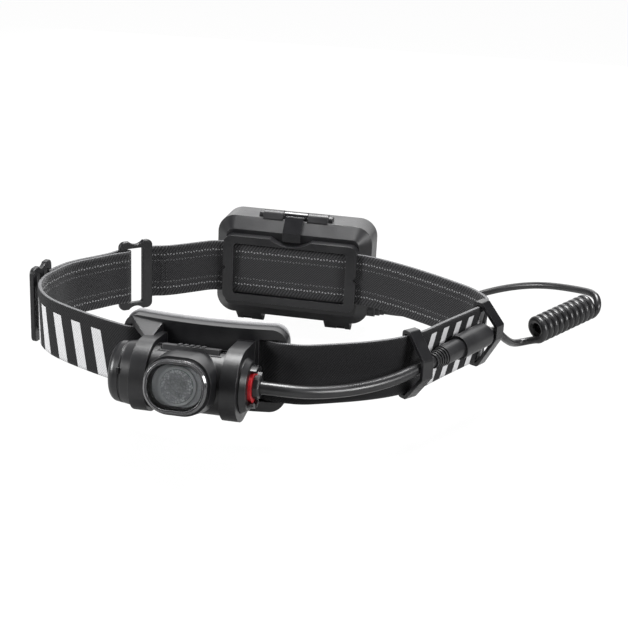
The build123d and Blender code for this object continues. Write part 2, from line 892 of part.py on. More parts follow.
def pack_shell(back, depth, bevel, direction):
    """Tray with bevelled rims, open at the plane y = back. direction is -1 towards the wearer."""
    mouth = Plane.XZ.offset(-back)
    with BuildPart() as core:
        with BuildSketch(mouth):
            with Locations((pack_x, pack_z)):
                RectangleRounded(
                    pack_width - 2 * pack_wall, pack_height - 2 * pack_wall, pack_corner - pack_wall
                )
        extrude(amount=-direction * (depth - pack_wall))
        floor_face = core.faces().filter_by(Axis.Y).sort_by(Axis.Y)[0 if direction < 0 else -1]
        chamfer(floor_face.edges(), bevel - inner_bevel_share)
    with BuildPart() as tray:
        with BuildSketch(mouth):
            with Locations((pack_x, pack_z)):
                RectangleRounded(pack_width, pack_height, pack_corner)
        extrude(amount=-direction * depth)
        floor_face = tray.faces().filter_by(Axis.Y).sort_by(Axis.Y)[0 if direction < 0 else -1]
        chamfer(floor_face.edges(), bevel)
        add(core.part, mode=Mode.SUBTRACT)
    return tray


case_tray = pack_shell(case_back, case_depth, case_bevel, -1)
hinge_z = pack_floor - 3.2
hinge_radius = 3.0
latch_y = pack_y + 9.0
latch_z = pack_roof + 0.4
latch_half = 5.8
lug_places = [pack_x + side * lug_spread / 2 for side in (-1, 1)]
notch_places = [
    pack_x + side * (lug_spread / 2 + lug_width / 2 - lug_notch / 2 - 2.6) for side in (-1, 1)
]

with BuildPart() as pack_case:
    add(case_tray.part)
    for place in lug_places:
        with BuildSketch(Plane.YZ.offset(place - lug_width / 2)):
            with Locations((case_back, hinge_z)):
                Circle(hinge_radius)
            with Locations((case_back - lug_depth / 2, pack_floor - 0.2)):
                Rectangle(lug_depth, 0.4)
            make_hull()
        extrude(amount=lug_width)
    for place in notch_places:
        with BuildSketch(Plane.YZ.offset(place - lug_notch / 2)):
            with Locations((case_back, pack_floor - hinge_radius - 0.6)):
                Rectangle(2 * hinge_radius + 1.4, 2 * hinge_radius + 1.2)
        extrude(amount=lug_notch, mode=Mode.SUBTRACT)
    for side in (-1, 1):
        inner_end = pack_x + side * (latch_half + side_gap)
        outer_end = latch_length / 2 - latch_half - side_gap
        with BuildSketch(Plane.YZ.offset(inner_end)):
            with Locations((latch_y, latch_z)):
                Circle(knuckle_radius)
            with Locations((latch_y + 0.4, pack_roof - pack_wall / 2)):
                Rectangle(9.0, pack_wall)
            make_hull()
            with Locations((latch_y, pack_roof - pack_wall - knuckle_radius)):
                Rectangle(4 * knuckle_radius, 2 * knuckle_radius, mode=Mode.SUBTRACT)
        extrude(amount=side * outer_end)
        with BuildSketch(Plane.YZ.offset(inner_end + side * outer_end)):
            with Locations((latch_y, latch_z)):
                Circle(knuckle_radius - 0.7)
        extrude(amount=side * 2.2)
    with BuildSketch(Plane.YZ.offset(pack_x - latch_length / 2 - 1)):
        with Locations((latch_y, latch_z)):
            Circle(pin_radius + running_gap)
        with Locations((case_back, hinge_z)):
            Circle(pin_radius + running_gap)
    extrude(amount=latch_length + 2, mode=Mode.SUBTRACT)
    with BuildSketch(Plane.YZ.offset(lug_places[0] - lug_width / 2 - 1)):
        with Locations((case_back, hinge_z)):
            Circle(pin_radius + running_gap)
    extrude(amount=lug_spread + lug_width + 2, mode=Mode.SUBTRACT)
    with BuildSketch(Plane.YZ.offset(pack_x - latch_half - side_gap)):
        with Locations((latch_y, latch_z)):
            Circle(knuckle_radius + 0.5)
    extrude(amount=2 * (latch_half + side_gap), mode=Mode.SUBTRACT)
    with BuildSketch(Plane.YZ.offset(gland_wall - 4.0)):
        with Locations((gland_y, gland_z)):
            Circle(gland_steps[0][0])
    extrude(amount=8, mode=Mode.SUBTRACT)
save(pack_case, "pack_case")

cover_tray = pack_shell(case_back, cover_depth, cover_bevel, 1)
with BuildPart() as pack_cover:
    add(cover_tray.part)
    for place in notch_places:
        with BuildSketch(Plane.YZ.offset(place - lug_notch / 2 + side_gap)):
            with Locations((case_back, hinge_z)):
                Circle(hinge_radius - 0.2)
            with Locations((case_back + 3.6, pack_floor + 0.4)):
                Rectangle(3.0, 0.8)
            make_hull()
        extrude(amount=lug_notch - 2 * side_gap)
        with BuildSketch(Plane.YZ.offset(place - lug_notch)):
            with Locations((case_back, hinge_z)):
                Circle(pin_radius + running_gap)
        extrude(amount=2 * lug_notch, mode=Mode.SUBTRACT)
    for level in (-12, -4, 4, 12):
        with BuildSketch(Plane.XZ.offset(-case_back - cover_depth)):
            with Locations((pack_x, pack_z + level)):
                RectangleRounded(pack_width - 26, 2.4, 1.1)
        extrude(amount=0.8, mode=Mode.SUBTRACT)
save(pack_cover, "pack_cover")

with BuildPart() as pack_seal:
    with BuildSketch(Plane.XZ.offset(-case_back)):
        with Locations((pack_x, pack_z)):
            RectangleRounded(
                pack_width - 2 * pack_wall, pack_height - 2 * pack_wall, pack_corner - pack_wall
            )
            RectangleRounded(
                pack_width - 2 * pack_wall - 2,
                pack_height - 2 * pack_wall - 2,
                pack_corner - pack_wall - 1,
                mode=Mode.SUBTRACT,
            )
    extrude(amount=1.6)
save(pack_seal, "pack_seal")

with BuildPart() as hinge_pins:
    for place in lug_places:
        with BuildSketch(Plane.YZ.offset(place - lug_width / 2)):
            with Locations((case_back, hinge_z)):
                Circle(pin_radius)
        extrude(amount=lug_width)
save(hinge_pins, "cover_hinge_pins")

with BuildPart() as latch_pin:
    with BuildSketch(Plane.YZ.offset(pack_x - latch_length / 2)):
        with Locations((latch_y, latch_z)):
            Circle(pin_radius)
    extrude(amount=latch_length)
save(latch_pin, "latch_pin")

# The latch's tongue follows the bevel and the face of the case down to the strap frame's dip
tongue_gap = 0.4
tongue_thick = 1.7
dip_rise = dip_radius - math.sqrt(dip_radius**2 - (latch_tongue / 2) ** 2)
tongue_end = frame_height / 2 - frame_dip + dip_rise + tongue_gap
face_step = tongue_gap * math.tan(math.radians(22.5))
tongue_outline = [
    (pack_y + case_bevel + 1.0, pack_roof + tongue_gap + 1.0),
    (pack_y + case_bevel - face_step, pack_roof + tongue_gap),
    (pack_y - tongue_gap, pack_roof - case_bevel + face_step),
    (pack_y - tongue_gap, tongue_end),
    (pack_y - tongue_gap - tongue_thick, tongue_end + 0.6),
    (pack_y - tongue_gap - tongue_thick, pack_roof - case_bevel + face_step + 0.8),
    (pack_y + case_bevel - face_step - 1.6, pack_roof + tongue_gap + 1.6),
]
with BuildPart() as latch:
    with BuildSketch(Plane.YZ.offset(pack_x - latch_half)):
        with Locations((latch_y, latch_z)):
            Circle(knuckle_radius)
    extrude(amount=2 * latch_half)
    with BuildSketch(Plane.YZ.offset(pack_x - latch_tongue / 2)):
        with BuildLine():
            Polyline(*tongue_outline, close=True)
        make_face()
    extrude(amount=latch_tongue)
    with BuildSketch(Plane.YZ.offset(pack_x - latch_half - 1)):
        with Locations((latch_y, latch_z)):
            Circle(pin_radius + running_gap)
    extrude(amount=2 * latch_half + 2, mode=Mode.SUBTRACT)
save(latch, "pack_latch")

# Strap frame: a back plate with rims and two front bars that trap the strap
frame_front = pack_y - frame_back - 2 * soft_gap - strap_thick - frame_bar_thick
with BuildPart() as frame:
    with BuildSketch(Plane.XZ.offset(-pack_y)):
        with Locations((pack_x, 0)):
            RectangleRounded(frame_width, frame_height, 4.0)
        with Locations((pack_x, frame_height / 2 + dip_radius - frame_dip)):
            Circle(dip_radius, mode=Mode.SUBTRACT)
    extrude(amount=pack_y - frame_front)
    with BuildSketch(Plane.XZ.offset(-pack_y + frame_back)):
        with Locations((pack_x, 0)):
            Rectangle(frame_width + 2, 2 * (strap_half + soft_gap))
    extrude(amount=strap_thick + 2 * soft_gap, mode=Mode.SUBTRACT)
    with BuildSketch(Plane.XZ.offset(-pack_y)):
        with Locations((pack_x, 0)):
            RectangleRounded(frame_width - 2 * frame_bar, 2 * (strap_half + soft_gap), 1.5)
    extrude(amount=pack_y - frame_front, mode=Mode.SUBTRACT)
    for side in (-1, 1):
        with BuildSketch(Plane.XZ.offset(-frame_front)):
            with Locations((pack_x + side * frame_width / 2, 0)):
                RegularPolygon(1.6, 4)
        extrude(amount=-frame_bar_thick, mode=Mode.SUBTRACT)
save(frame, "strap_frame")

# Inside the pack
cells_x = pack_x - 3
with BuildPart() as battery_cells:
    for row in (-1, 0, 1):
        with BuildSketch(Plane.YZ.offset(cells_x - cell_length / 2)):
            with Locations((case_back, pack_z + row * cell_pitch)):
                Circle(cell_radius)
        extrude(amount=cell_length)
        nub_side = -1 if row == 0 else 1
        with BuildSketch(Plane.YZ.offset(cells_x + nub_side * cell_length / 2)):
            with Locations((case_back, pack_z + row * cell_pitch)):
                Circle(2.6)
        extrude(amount=nub_side * cell_nub)
save(battery_cells, "battery_cells")

tray_wall = 1.4
tray_half = cell_length / 2 + cell_nub + contact_thick + 0.5
tray_height = 2 * cell_pitch + 2 * cell_radius - 1.0
tray_floor = pack_y + pack_wall
with BuildPart() as cell_tray:
    with BuildSketch(Plane.YZ.offset(cells_x - tray_half - tray_wall)):
        with Locations(((tray_floor + case_back) / 2, pack_z)):
            Rectangle(case_back - tray_floor, tray_height - 2 * case_bevel)
    extrude(amount=2 * (tray_half + tray_wall))
    for row in (-1, 0, 1):
        with BuildSketch(Plane.YZ.offset(cells_x - tray_half)):
            with Locations((case_back, pack_z + row * cell_pitch)):
                Circle(cell_radius + seat_gap)
        extrude(amount=2 * tray_half, mode=Mode.SUBTRACT)
save(cell_tray, "cell_tray")

with BuildPart() as cell_contacts:
    for side in (-1, 1):
        for row in (-1, 0, 1):
            with BuildSketch(Plane.YZ.offset(cells_x + side * tray_half)):
                with Locations((case_back - 2.5, pack_z + row * cell_pitch)):
                    Rectangle(6.0, 8.0)
            extrude(amount=-side * contact_thick)
save(cell_contacts, "cell_contacts")

board_x = cells_x + tray_half + tray_wall
with BuildPart() as pack_board:
    with BuildSketch(Plane.YZ.offset(board_x)):
        with Locations((tray_floor + 5.5, pack_z + 3)):
            Rectangle(9.0, 26.0)
    extrude(amount=board_thick)
    with BuildSketch(Plane.YZ.offset(board_x + board_thick)):
        with Locations((tray_floor + 5.0, pack_z + 8), (tray_floor + 6.0, pack_z - 3)):
            Rectangle(4.0, 5.0)
    extrude(amount=1.6)
save(pack_board, "pack_board")

with BuildPart() as pack_gland:
    reached = gland_wall - 1.0
    for radius, length in gland_steps:
        with BuildSketch(Plane.YZ.offset(reached)):
            with Locations((gland_y, gland_z)):
                Circle(radius)
        extrude(amount=length)
        reached += length
    with BuildSketch(Plane.YZ.offset(gland_wall - 4.0)):
        with Locations((gland_y, gland_z)):
            Circle(gland_steps[0][0])
    extrude(amount=3.0)
save(pack_gland, "pack_gland")
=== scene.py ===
# %% [markdown]
# # A headlamp with a rear battery pack
# The lamp is worn round the head: a tilting lamp head on a bowed bracket, a strap of elastic webbing, and a
# battery pack behind, fed through a plug and a coiled cable. The hard parts come from a CAD frame that is
# already the right size and in the right place. This script adds what CAD leaves plain: the cables, the
# webbing, the forehead pad, the stitching, and the finish of every surface.
#
# All lengths are in metres. +Z is up, the lamp shines towards -Y, and the origin is the middle of the strap's
# loop.

# %% Load the frame
import math

import bmesh
import bpy
from mathutils import Matrix, Vector


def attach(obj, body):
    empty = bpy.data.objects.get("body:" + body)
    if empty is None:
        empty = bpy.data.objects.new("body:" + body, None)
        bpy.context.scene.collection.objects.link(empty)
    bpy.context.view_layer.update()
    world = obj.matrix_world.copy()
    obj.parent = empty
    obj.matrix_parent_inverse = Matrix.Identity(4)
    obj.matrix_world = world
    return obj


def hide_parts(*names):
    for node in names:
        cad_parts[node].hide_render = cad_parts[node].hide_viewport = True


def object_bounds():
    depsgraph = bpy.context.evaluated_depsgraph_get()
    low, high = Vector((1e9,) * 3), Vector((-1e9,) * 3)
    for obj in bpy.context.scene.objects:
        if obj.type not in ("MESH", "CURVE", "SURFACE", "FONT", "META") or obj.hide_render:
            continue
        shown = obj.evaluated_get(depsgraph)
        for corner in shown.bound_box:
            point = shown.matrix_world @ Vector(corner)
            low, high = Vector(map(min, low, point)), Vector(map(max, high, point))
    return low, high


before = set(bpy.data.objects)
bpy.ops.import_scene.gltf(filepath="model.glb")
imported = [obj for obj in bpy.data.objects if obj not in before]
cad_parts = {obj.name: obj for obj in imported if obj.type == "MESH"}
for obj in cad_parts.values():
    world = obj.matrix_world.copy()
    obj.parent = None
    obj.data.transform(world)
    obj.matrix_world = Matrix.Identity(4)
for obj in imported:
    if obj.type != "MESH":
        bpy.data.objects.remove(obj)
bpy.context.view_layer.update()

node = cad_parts
mm = 0.001


# %% [markdown]
# ## Camera
# A long lens stands about half a metre in front of the lamp, a little to its right and above it, so both the
# lens in front and the inside of the strap behind can be seen. The camera is placed before anything else is
# made, because the cables are laid out to look right from there.

# %% Camera
scene = bpy.context.scene
camera_data = bpy.data.cameras.new("camera")
camera = bpy.data.objects.new("camera", camera_data)
scene.collection.objects.link(camera)
camera_data.lens = 74.5
camera_data.sensor_width = 36.0
camera_data.clip_start = 0.01
camera_place = (0.12096, -0.52674, 0.195)
camera_turn, camera_pitch, camera_roll = 10.6, 70.29, 2.75
camera.matrix_world = (
    Matrix.Translation(camera_place)
    @ Matrix.Rotation(math.radians(camera_turn), 4, "Z")
    @ Matrix.Rotation(math.radians(camera_pitch), 4, "X")
    @ Matrix.Rotation(math.radians(camera_roll), 4, "Z")
)
scene.camera = camera
print("camera at", tuple(round(value, 3) for value in camera.matrix_world.translation))


# %% [markdown]
# ## Cables
# Two cables meet at a plug and socket. A thick one leaves the right end of the lamp head, passes the front clip
# and ends in the plug. A thin one leaves the socket, winds into a tight coil and comes back to the pack.
# A cable could be a chain of cylinders or a mesh swept by hand, but a curve with a round bevel is the natural
# form: one spline carries the line of the cable, and its thickness is a single number. A NURBS spline of order
# three passes smoothly near its points, as a springy cable does.

# %% Route helpers
def spline_curve(name, points, radius=0.0):
    """Curve object with one smooth NURBS spline.

    The bevel is one metre deep and each point scales it down to the radius, so that the box measured round
    the curve fits the cable. Without a radius the curve is a bare line.
    """
    data = bpy.data.curves.new(name, "CURVE")
    data.dimensions = "3D"
    data.resolution_u = 10
    data.bevel_depth = 1.0 if radius else 0.0
    data.bevel_resolution = 6
    data.use_fill_caps = True
    spline = data.splines.new("NURBS")
    spline.points.add(len(points) - 1)
    for spot, place in zip(spline.points, points):
        spot.co = (*place, 1.0)
        spot.radius = radius
    spline.order_u = 3
    spline.use_endpoint_u = True
    piece = bpy.data.objects.new(name, data)
    scene.collection.objects.link(piece)
    return piece


def smooth_line(points):
    """Points read along the NURBS line through a route, close enough together to follow it."""
    guide = spline_curve("guide", points)
    mesh = bpy.data.meshes.new_from_object(guide)
    line = [vertex.co.copy() for vertex in mesh.vertices]
    data = guide.data
    bpy.data.objects.remove(guide)
    bpy.data.curves.remove(data)
    bpy.data.meshes.remove(mesh)
    return line


def line_length(line):
    """Length of a line of points."""
    return sum((after - before).length for before, after in zip(line, line[1:]))


# %% [markdown]
# The connector lies on a straight axis from the plug's ribbed relief to the end of the socket's nose, so the
# cables' last stretches are worked out along that axis, and they run into the rubber without a kink. Routes are
# given in millimetres, as a maker measures them, and turned into metres where they are used.

# %% Lamp cable
plug_start = Vector((78.5, -34.6, 1.0)) * mm
socket_end = Vector((98.6, 2.6, 2.8)) * mm
plug_axis = (socket_end - plug_start).normalized()
lead_in, lead_out = 7.5, 5.2
lamp_cable_start = Vector((18.05, -80.0, 0.0)) * mm
lamp_cable_width = 5.0 * mm
lamp_points = [
    lamp_cable_start,
    Vector((25.45, -80.0, 0.0)) * mm,
    Vector((33.6, -77.6, -1.0)) * mm,
    Vector((41.8, -72.9, -1.9)) * mm,
    Vector((50.0, -66.9, -2.4)) * mm,
    Vector((58.0, -60.2, -2.3)) * mm,
    Vector((65.0, -53.3, -1.7)) * mm,
    Vector((70.4, -47.0, -0.7)) * mm,
    plug_start - plug_axis * lead_in * mm,
    plug_start,
]
lamp_lead = spline_curve("lamp_lead", lamp_points, lamp_cable_width / 2)
lamp_length = line_length(smooth_line(lamp_points))
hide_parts("lamp_cable")
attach(lamp_lead, "headband")
print("lamp lead:", round(lamp_length * 1000, 1), "mm")


# %% [markdown]
# The coil is a helix about a straight axis. Its points are worked out by a loop, sixteen to a turn, on a radius
# a little larger than the real one, because the spline passes just inside its points. The lead from the socket
# dips, slides under the near end of the coil and joins the first turn along its own direction. At the far end
# the last turn opens into the wide arc that goes back to the pack's gland.

# %% Coiled cable
coil_cable_width = 3.4 * mm
coil_width = 12.4 * mm
coil_near = Vector((117.0, 28.0, -4.0)) * mm
coil_far = Vector((141.7, 59.3, 1.0)) * mm
coil_axis = (coil_far - coil_near).normalized()
coil_right = coil_axis.cross(Vector((0, 0, 1))).normalized()
coil_down = coil_axis.cross(coil_right).normalized()
turn_radius = (coil_width - coil_cable_width) / 2
turn_steps = 16
coil_turns = 10.2
coil_margin = 0.1 * mm
coil_start = coil_cable_width / 2 + coil_margin
coil_run = (coil_far - coil_near).length - 2 * coil_start
helix_radius = turn_radius / math.cos(math.pi / turn_steps)
helix = []
for step in range(int(coil_turns * turn_steps) + 1):
    angle = 2 * math.pi * step / turn_steps
    along = coil_start + coil_run * step / (coil_turns * turn_steps)
    spoke = coil_down * math.cos(angle) + coil_right * math.sin(angle)
    helix.append(coil_near + coil_axis * along + spoke * helix_radius)


def off_coil(end, along, right, down):
    """Place measured in millimetres from an end of the coil: along its axis, to its right and down."""
    return end + (coil_axis * along + coil_right * right + coil_down * down) * mm


near_lead = [
    socket_end,
    socket_end + plug_axis * lead_out * mm,
    off_coil(coil_near, -20.0, -0.6, -4.6),
    off_coil(coil_near, -13.0, -3.2, 1.2),
    off_coil(coil_near, -7.2, -5.4, 5.0),
    off_coil(coil_near, -2.6, -6.0, 6.6),
    off_coil(coil_near, 0.6, -3.2, 5.8),
]
far_lead = [
    Vector((144.7, 55.2, 0.8)) * mm,
    Vector((144.8, 56.8, 3.2)) * mm,
    Vector((143.8, 59.8, 5.2)) * mm,
    Vector((141.2, 64.0, 5.6)) * mm,
    Vector((136.8, 69.6, 4.4)) * mm,
    Vector((130.6, 76.0, 2.8)) * mm,
    Vector((122.4, 82.4, 1.0)) * mm,
    Vector((112.8, 87.4, -1.4)) * mm,
    Vector((101.8, 90.6, -4.9)) * mm,
    Vector((90.6, 90.8, -8.9)) * mm,
    Vector((80.2, 88.0, -13.2)) * mm,
    Vector((70.2, 83.2, -16.9)) * mm,
    Vector((60.8, 78.2, -19.1)) * mm,
    Vector((51.8, 74.8, -18.9)) * mm,
    Vector((43.5, 74.5, -18.4)) * mm,
]
pack_points = near_lead + helix + far_lead
pack_lead = spline_curve("pack_lead", pack_points, coil_cable_width / 2)
pack_length = line_length(smooth_line(pack_points))
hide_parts("coil_near_lead", "coiled_cable", "coil_far_lead")
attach(pack_lead, "headband")
print("pack lead:", round(pack_length * 1000, 1), "mm, points", len(pack_points))


# %% [markdown]
# ## Webbing
# On the real lamp the strap is one elastic band. It starts at the left slider, runs back outside to the rear
# ring, folds inward round the ring's left bar, returns inside to the slider, goes round the front through the
# bracket, along the right side under both clips, through the pack's frame, and ends on the ring's other bar.
#
# A curve with an extrusion could draw such a band, but a grid is better here: its UV map, stretched to real
# metres along and across the band, carries the weave, the stitch lines and the print round every bend. The
# grid's vertices are laid along the smooth line of the route, and a Solidify modifier gives the thickness, with
# one finish outside, another inside and a third on the rim.

# %% Route of the band
strap_width = 25.0 * mm
strap_thick = 1.4 * mm
lamp_x, bracket_y, bracket_radius = -9.5, -65.8, 150.0
bend_centre = bracket_y + bracket_radius
strap_in, strap_over = 146.45, 151.05
frame_mid_y = 63.35
ring_centre = Vector((-71.5, 35.0))
ring_along = Vector((0.72, 0.69)).normalized()
ring_out = Vector((-ring_along.y, ring_along.x))
left_bar, right_bar, wrap_gap = -6.6, 5.9, 2.15
layer_step = 1.0


def at_ring(along, out):
    """Plan point in the rear ring's own directions."""
    return ring_centre + ring_along * along + ring_out * out


def on_bracket(across, radius):
    """Plan point on an arc about the bracket's centre of curvature."""
    return Vector((lamp_x + across, bend_centre - math.sqrt(radius**2 - across**2)))


def beside(points, distance):
    """Plan points moved to the left of the direction of travel."""
    moved = []
    for index, here in enumerate(points):
        before = points[max(index - 1, 0)]
        after = points[min(index + 1, len(points) - 1)]
        along = (after - before).normalized()
        moved.append(here + Vector((-along.y, along.x)) * distance)
    return moved


def plan(*places):
    """Plan points from pairs of numbers in millimetres."""
    return [Vector(place) for place in places]


left_run = plan((-95.9, -7.0), (-94.4, 2.0), (-91.0, 9.6), (-84.6, 18.4), (-79.6, 25.6))
tail_run = beside(left_run, layer_step)
inner_run = beside(left_run, -layer_step)[::-1]
fold_reach, fold_tip, tip_gap = 1.6, 3.6, 0.9
ring_fold = [
    at_ring(left_bar - fold_reach, wrap_gap),
    at_ring(left_bar + fold_reach, wrap_gap),
    at_ring(left_bar + fold_tip, tip_gap),
    at_ring(left_bar + fold_tip, -tip_gap),
    at_ring(left_bar + fold_reach, -wrap_gap),
    at_ring(left_bar - fold_reach, -wrap_gap),
]
left_front = plan((-96.3, -15.0), (-94.6, -25.0), (-89.6, -35.2), (-80.4, -44.9), (-58.0, -56.9))
half_bracket = [(5.0, strap_in), (14.0, strap_in), (21.7, strap_in), (30.15, strap_over), (32.6, strap_over)]
bracket_run = [on_bracket(-across, radius) for across, radius in reversed(half_bracket)]
bracket_run += [on_bracket(across, radius) for across, radius in half_bracket]
right_run = plan(
    (30.5, -63.0),
    (37.2, -60.0),
    (53.6, -51.6),
    (65.6, -42.6),
    (74.0, -32.2),
    (80.4, -18.4),
    (88.5, -3.2),
    (98.4, 15.6),
    (89.6, 29.6),
    (79.8, 37.2),
    (67.3, 46.2),
    (53.0, 55.2),
    (35.5, frame_mid_y),
    (27.0, frame_mid_y),
    (-31.0, frame_mid_y),
    (-40.5, frame_mid_y),
    (-48.6, 55.6),
    (-59.8, 45.6),
)
ring_end = [at_ring(right_bar + 4.0, wrap_gap + 0.6), at_ring(right_bar - 1.5, wrap_gap)]
band_plan = tail_run + ring_fold + inner_run + left_front + bracket_run + right_run + ring_end
band_line = smooth_line([Vector((place.x * mm, place.y * mm, 0.0)) for place in band_plan])
band_length = line_length(band_line)
print("band:", round(band_length * 1000), "mm long,", len(band_line), "points on its line")


# %% [markdown]
# Walking along the line at even steps gives every cell of the grid the same length, so the weave isn't
# stretched anywhere.

# %% Lay the band along its route
def along_line(line, distances):
    """Place and direction at each distance along a line; the distances rise."""
    found = []
    leg, passed = 0, 0.0
    for distance in distances:
        while leg < len(line) - 2 and passed + (line[leg + 1] - line[leg]).length < distance:
            passed += (line[leg + 1] - line[leg]).length
            leg += 1
        step = line[leg + 1] - line[leg]
        found.append((line[leg] + step.normalized() * (distance - passed), step.normalized()))
    return found


def smooth_faces(mesh):
    """Shade every face of a mesh smooth."""
    for face in mesh.polygons:
        face.use_smooth = True


columns, rows = 560, 16
band_mesh = bpy.data.meshes.new("headband_webbing")
band = bpy.data.objects.new("headband_webbing", band_mesh)
scene.collection.objects.link(band)
shape = bmesh.new()
band_map = shape.loops.layers.uv.new("band")
bmesh.ops.create_grid(shape, x_segments=columns, y_segments=rows, size=0.5, calc_uvs=True)
for face in shape.faces:
    for corner in face.loops:
        place = corner.vert.co
        corner[band_map].uv = ((place.x + 0.5) * band_length, place.y * strap_width)
stations = along_line(band_line, [band_length * column / columns for column in range(columns + 1)])
for vertex in shape.verts:
    spot = stations[round((vertex.co.x + 0.5) * columns)][0]
    vertex.co = Vector((spot.x, spot.y, vertex.co.y * strap_width))
bmesh.ops.recalc_face_normals(shape, faces=shape.faces)
shape.to_mesh(band_mesh)
shape.free()
smooth_faces(band_mesh)
thicken = band.modifiers.new("thickness", "SOLIDIFY")
thicken.thickness = strap_thick
thicken.offset = 0.0
thicken.use_even_offset = True
thicken.material_offset = 1
thicken.material_offset_rim = 2
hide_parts("strap_tail", "strap_left", "strap_front", "strap_right", "strap_rear")
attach(band, "headband")
outward = band_mesh.polygons[len(band_mesh.polygons) // 2].normal
print("webbing:", len(band_mesh.polygons), "faces, normal at the middle", [round(part, 2) for part in outward])


# %% [markdown]
# The loose ends of the band are sewn down. Each stitch is a short bead of thread, made from a small icosphere
# stretched along the seam, in rows across the band near both of its ends, on both faces.

# %% Stitches
bead_wide, bead_long = 0.28 * mm, 0.66 * mm
bead_proud = 0.08 * mm
seam_margin = 1.5 * mm


def sewn_rows(name, distances, count=13):
    """Rows of thread beads across the band at the given distances along it."""
    mesh = bpy.data.meshes.new(name)
    piece = bpy.data.objects.new(name, mesh)
    scene.collection.objects.link(piece)
    shape = bmesh.new()
    pitch = (strap_width - 2 * seam_margin) / (count - 1)
    for spot, way in along_line(band_line, distances):
        out = Vector((way.y, -way.x, 0.0))
        for side in (-1, 1):
            for row in range(count):
                level = (row - (count - 1) / 2) * pitch
                centre = spot + out * side * (strap_thick / 2 + bead_proud) + Vector((0.0, 0.0, level))
                bead = Matrix.Translation(centre) @ Matrix.Diagonal((bead_wide, bead_wide, bead_long, 1.0))
                bmesh.ops.create_icosphere(shape, subdivisions=2, radius=1.0, matrix=bead)
    shape.to_mesh(mesh)
    shape.free()
    smooth_faces(mesh)
    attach(piece, "headband")
    print(name, "has", len(mesh.polygons), "faces")


sewn_rows("tail_stitches", [6.0 * mm, 8.0 * mm])
sewn_rows("ring_stitches", [band_length - 12.0 * mm, band_length - 10.0 * mm])


# %% [markdown]
# ## Forehead pad
# Behind the bracket is a soft foam pad faced with grey fabric. Foam in a sewn cover is fullest in the middle of
# each panel, and pulled in at its rounded edge and along the two seams that part it in three. A grid could be
# given its shape with a cloth simulation, but a pad this thin hardly moves, so a smooth formula swells its inner
# side between the seams, and its outer side stays on the bracket, bent to the same curve.

# %% Forehead pad
pad_outer = 145.4 * mm
pad_deep = 3.5 * mm
pad_wide = 68.2 * mm
pad_tall = 36.2 * mm
pad_corner = 7.1 * mm
pad_edge = 2.1 * mm
edge_rounding, seam_reach = 2.6 * mm, 2.4 * mm
outer_easing = 0.35 * mm
seam_share = 0.55
pad_mesh = bpy.data.meshes.new("forehead_cushion")
pad = bpy.data.objects.new("forehead_cushion", pad_mesh)
scene.collection.objects.link(pad)
pad_columns, pad_rows = 96, 52


def fullness(across, up):
    """How full the pad is at a place: nothing at its edge, one in a panel, less along the two seams."""
    edge = min(pad_wide / 2 - abs(across), pad_tall / 2 - abs(up))
    rise = min(max(edge, 0.0) / edge_rounding, 1.0)
    swell = math.sqrt(rise * (2 - rise))
    seam = min(abs(abs(across) - pad_wide / 6) / seam_reach, 1.0)
    return swell * (seam_share + (1 - seam_share) * math.sqrt(seam * (2 - seam)))


shape = bmesh.new()
pad_map = shape.loops.layers.uv.new("pad")
bmesh.ops.create_grid(shape, x_segments=pad_columns, y_segments=pad_rows, size=0.5, calc_uvs=True)
for vertex in shape.verts:
    across, up = vertex.co.x * pad_wide, vertex.co.y * pad_tall
    over = Vector((abs(across) - pad_wide / 2 + pad_corner, abs(up) - pad_tall / 2 + pad_corner))
    if over.x > 0 and over.y > 0 and over.length > 0:
        reach = max(over.x, over.y) / over.length
        across -= math.copysign(over.x * (1 - reach), across)
        up -= math.copysign(over.y * (1 - reach), up)
    vertex.co = Vector((across, 0.0, up))
for face in shape.faces:
    for corner in face.loops:
        corner[pad_map].uv = (corner.vert.co.x, corner.vert.co.z)
copied = bmesh.ops.duplicate(shape, geom=shape.verts[:] + shape.edges[:] + shape.faces[:])
inner = [part for part in copied["geom"] if isinstance(part, bmesh.types.BMVert)]
inner_set = set(inner)
outer = [vertex for vertex in shape.verts if vertex not in inner_set]
for vertex in outer:
    vertex.co.y = outer_easing * (1 - fullness(vertex.co.x, vertex.co.z))
for vertex in inner:
    vertex.co.y = pad_edge + (pad_deep - pad_edge) * fullness(vertex.co.x, vertex.co.z)
bmesh.ops.bridge_loops(shape, edges=[edge for edge in shape.edges if edge.is_boundary])
for vertex in shape.verts:
    angle = vertex.co.x / pad_outer
    radius = pad_outer - vertex.co.y
    vertex.co.x = lamp_x * mm + radius * math.sin(angle)
    vertex.co.y = bend_centre * mm - radius * math.cos(angle)
bmesh.ops.recalc_face_normals(shape, faces=shape.faces)
shape.to_mesh(pad_mesh)
shape.free()
smooth_faces(pad_mesh)
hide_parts("forehead_pad")
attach(pad, "headband")
print("pad:", len(pad_mesh.polygons), "faces")


# %% [markdown]
# ## Finishes
# Every surface gets a finish made of nodes, so it holds at any distance and needs no picture file. The helpers
# below add a node and join it up in one line. Patterns on hard parts read Object coordinates, in metres, so a
# noise of scale 2000 has a grain of about half a millimetre. Patterns on cloth read the piece's own UV map.

# %% Node helpers
def blank(name):
    """New material with its node tree and its shader."""
    material = bpy.data.materials.new(name)
    material.use_nodes = True
    return material, material.node_tree, material.node_tree.nodes["Principled BSDF"]


def feed(tree, target, inputs):
    """Set each socket of a node to its value, or join it to another node's output."""
    for socket, value in inputs.items():
        if isinstance(value, bpy.types.NodeSocket):
            tree.links.new(value, target.inputs[socket])
        else:
            target.inputs[socket].default_value = value


def put(tree, kind, inputs=None, **settings):
    """New node of a kind, with its settings and its inputs."""
    made = tree.nodes.new(kind)
    for name, value in settings.items():
        setattr(made, name, value)
    feed(tree, made, inputs or {})
    return made


